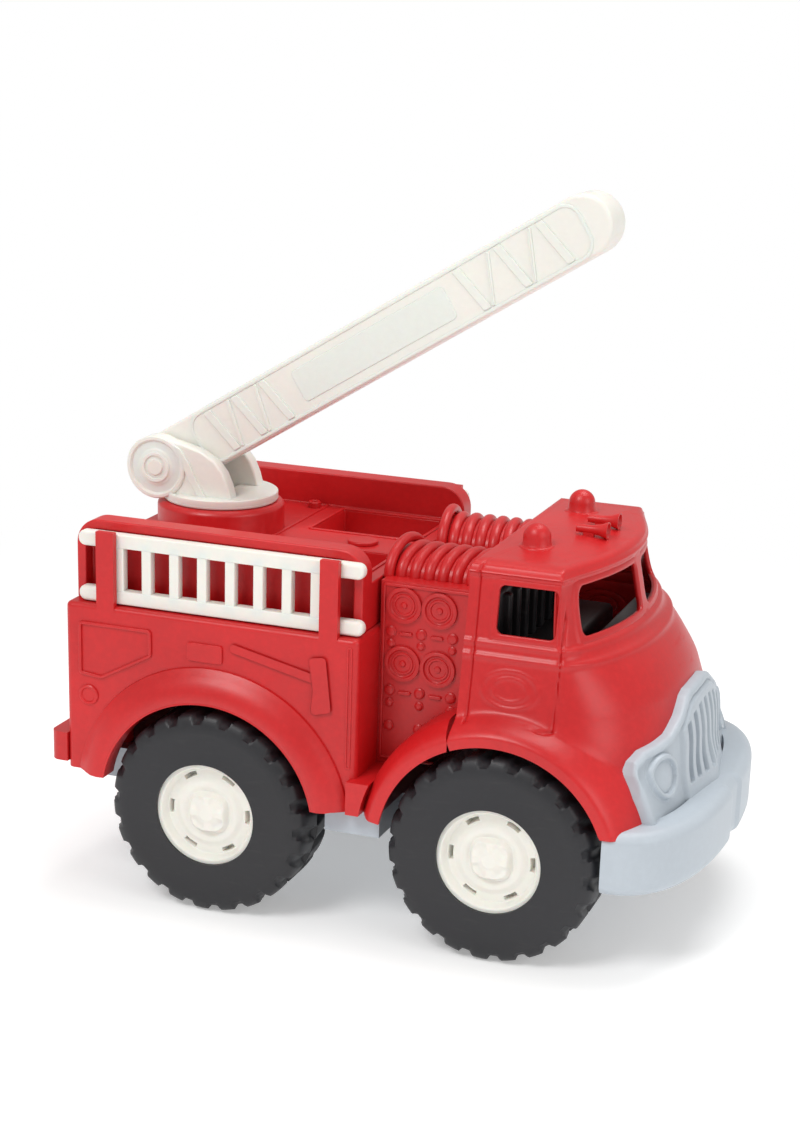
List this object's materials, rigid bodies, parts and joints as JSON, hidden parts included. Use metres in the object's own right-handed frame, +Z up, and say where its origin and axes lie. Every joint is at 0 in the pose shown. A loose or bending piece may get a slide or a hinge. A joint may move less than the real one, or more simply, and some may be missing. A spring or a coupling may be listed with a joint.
{
  "type": "toy fire engine",
  "caption": "Moulded toy fire engine with a turntable, a raising boom, lift-off side ladders and four free-rolling wheels on two axles.",
  "frame": {"origin": "centre of the overall box on the ground plane, with the boom raised as modelled", "axes": "+X forward along the truck, +Y to the truck's left, +Z up"},
  "size_m": [0.268, 0.1588, 0.2847],
  "materials": {
    "red_plastic": "satin moulded, fine even texture",
    "white_plastic": "satin moulded, warm white",
    "grey_plastic": "satin moulded, light blue-grey",
    "black_plastic": "satin moulded",
    "black_tyre": "matte soft plastic",
    "steel": "plain drawn wire"
  },
  "bodies": {
    "truck": {"body_shell": "red_plastic", "deck": "red_plastic", "deck_plug": "red_plastic", "pump_module": "red_plastic", "cab_shell": "red_plastic", "hose_coil_right": "red_plastic", "hose_coil_left": "red_plastic", "chassis": "grey_plastic", "grille_bumper": "grey_plastic", "cab_interior": "black_plastic", "body_screws": "steel"},
    "turntable": {"turntable": "white_plastic", "turntable_retainer": "white_plastic", "boom_pin": "white_plastic"},
    "boom": {"boom": "white_plastic"},
    "front_wheels": {"axle_front": "steel", "hub_front_right": "white_plastic", "hub_front_left": "white_plastic", "tyre_front_right": "black_tyre", "tyre_front_left": "black_tyre"},
    "rear_wheels": {"axle_rear": "steel", "hub_rear_right": "white_plastic", "hub_rear_left": "white_plastic", "tyre_rear_right": "black_tyre", "tyre_rear_left": "black_tyre"},
    "ladder_right": {"side_ladder_right": "white_plastic"},
    "ladder_left": {"side_ladder_left": "white_plastic"}
  },
  "joints": [
    {"name": "turntable_turn", "type": "hinge", "parent": "truck", "child": "turntable", "pos_m": [-0.0915, 0, 0.152], "axis": [0, 0, 1], "continuous": true},
    {"name": "boom_raise", "type": "hinge", "parent": "turntable", "child": "boom", "pos_m": [-0.113, 0, 0.1646], "axis": [0, -1, 0], "range_deg": [-27, 48]},
    {"name": "front_axle_roll", "type": "hinge", "parent": "truck", "child": "front_wheels", "pos_m": [0.056, 0, 0.0418], "axis": [0, 1, 0], "continuous": true},
    {"name": "rear_axle_roll", "type": "hinge", "parent": "truck", "child": "rear_wheels", "pos_m": [-0.062, 0, 0.0418], "axis": [0, 1, 0], "continuous": true},
    {"name": "ladder_right_lift", "type": "slide", "parent": "truck", "child": "ladder_right", "axis": [0, 0, 1], "range_m": [0, 0.036]},
    {"name": "ladder_left_lift", "type": "slide", "parent": "truck", "child": "ladder_left", "axis": [0, 0, 1], "range_m": [0, 0.036]}
  ]
}
